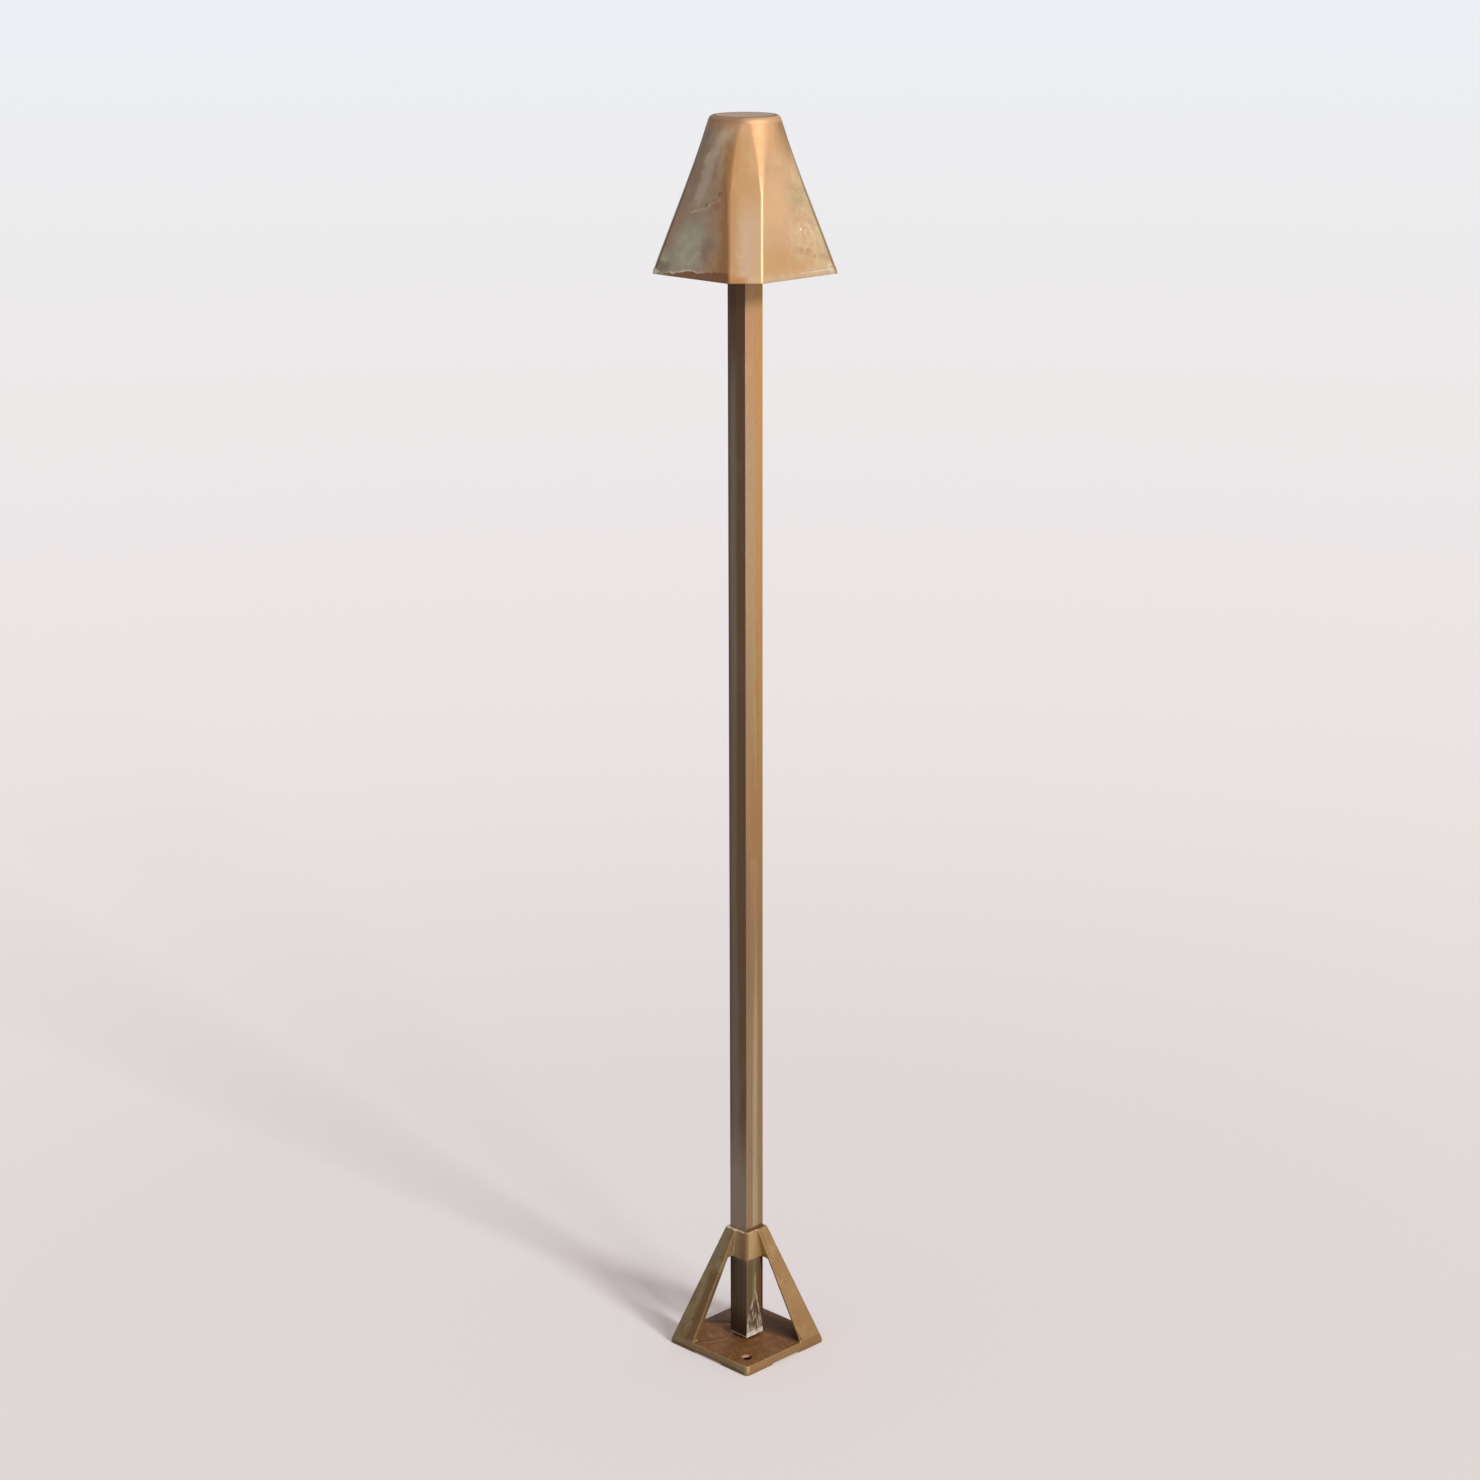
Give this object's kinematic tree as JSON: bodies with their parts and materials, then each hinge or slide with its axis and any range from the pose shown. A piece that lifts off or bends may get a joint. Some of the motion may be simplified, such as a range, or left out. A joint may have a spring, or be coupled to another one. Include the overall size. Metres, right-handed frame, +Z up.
{
  "type": "garden post light",
  "caption": "Tall square-stem garden light with a hipped brass shade over a glass-covered lamp, on a cast pyramid base with two struts and ground-screw holes.",
  "frame": {"origin": "on the ground under the middle of the stem, at the centre of the base plate's footprint", "axes": "+Z up along the stem; X and Y along the base plate's sides; the two struts stand on the -X-Y and +X+Y corners and the ground screws on the other two"},
  "size_m": [0.153, 0.153, 1.3223],
  "materials": {
    "cast_brass": "satin",
    "stem_brass": "satin",
    "shade_brass": "satin",
    "turned_brass": "satin",
    "steel": "satin",
    "black_rubber": "matte",
    "silicone": "matte",
    "ceramic": "satin",
    "wire_black": "satin",
    "wire_white": "satin",
    "sleeve_blue": "gloss",
    "frosted_glass": "satin",
    "lamp_resin": "satin"
  },
  "bodies": {
    "post": {"base_casting": "cast_brass", "stem": "stem_brass", "foot_plug": "turned_brass", "foot_nipple": "turned_brass", "lock_washer": "steel", "lock_nut": "turned_brass", "cable_grommet": "black_rubber", "collar_screws": "steel", "hub": "turned_brass", "hub_screws": "turned_brass", "lamp_holder": "ceramic", "holder_screws": "steel", "lead_wire_a": "wire_black", "lead_wire_b": "wire_white", "splice_sleeves": "sleeve_blue", "lens_gasket": "silicone"},
    "hood": {"shade": "shade_brass", "shade_boss": "turned_brass", "carrier_ring": "turned_brass", "carrier_rods": "turned_brass", "rod_screws": "steel", "carrier_disc": "turned_brass", "disc_screw": "steel"},
    "lens_unit": {"lens": "frosted_glass"},
    "lamp_unit": {"lamp_base": "ceramic", "lamp_capsule": "lamp_resin"},
    "thumb_1": {"thumb_screw_1": "turned_brass"},
    "thumb_2": {"thumb_screw_2": "turned_brass"},
    "thumb_3": {"thumb_screw_3": "turned_brass"}
  },
  "joints": [
    {"name": "shade_lift", "type": "slide", "parent": "post", "child": "hood", "axis": [0, 0, 1], "range_m": [0, 0.15]},
    {"name": "lens_lift", "type": "slide", "parent": "post", "child": "lens_unit", "axis": [0, 0, 1], "range_m": [0, 0.012]},
    {"name": "lamp_pull", "type": "slide", "parent": "post", "child": "lamp_unit", "axis": [0, 0, 1], "range_m": [0, 0.007]},
    {"name": "thumb_slide_1", "type": "slide", "parent": "hood", "child": "thumb_1", "axis": [0.2588, 0.9659, 0], "range_m": [0, 0.004]},
    {"name": "thumb_slide_2", "type": "slide", "parent": "hood", "child": "thumb_2", "axis": [-0.9659, -0.2588, 0], "range_m": [0, 0.004]},
    {"name": "thumb_slide_3", "type": "slide", "parent": "hood", "child": "thumb_3", "axis": [0.7071, -0.7071, 0], "range_m": [0, 0.004]}
  ]
}
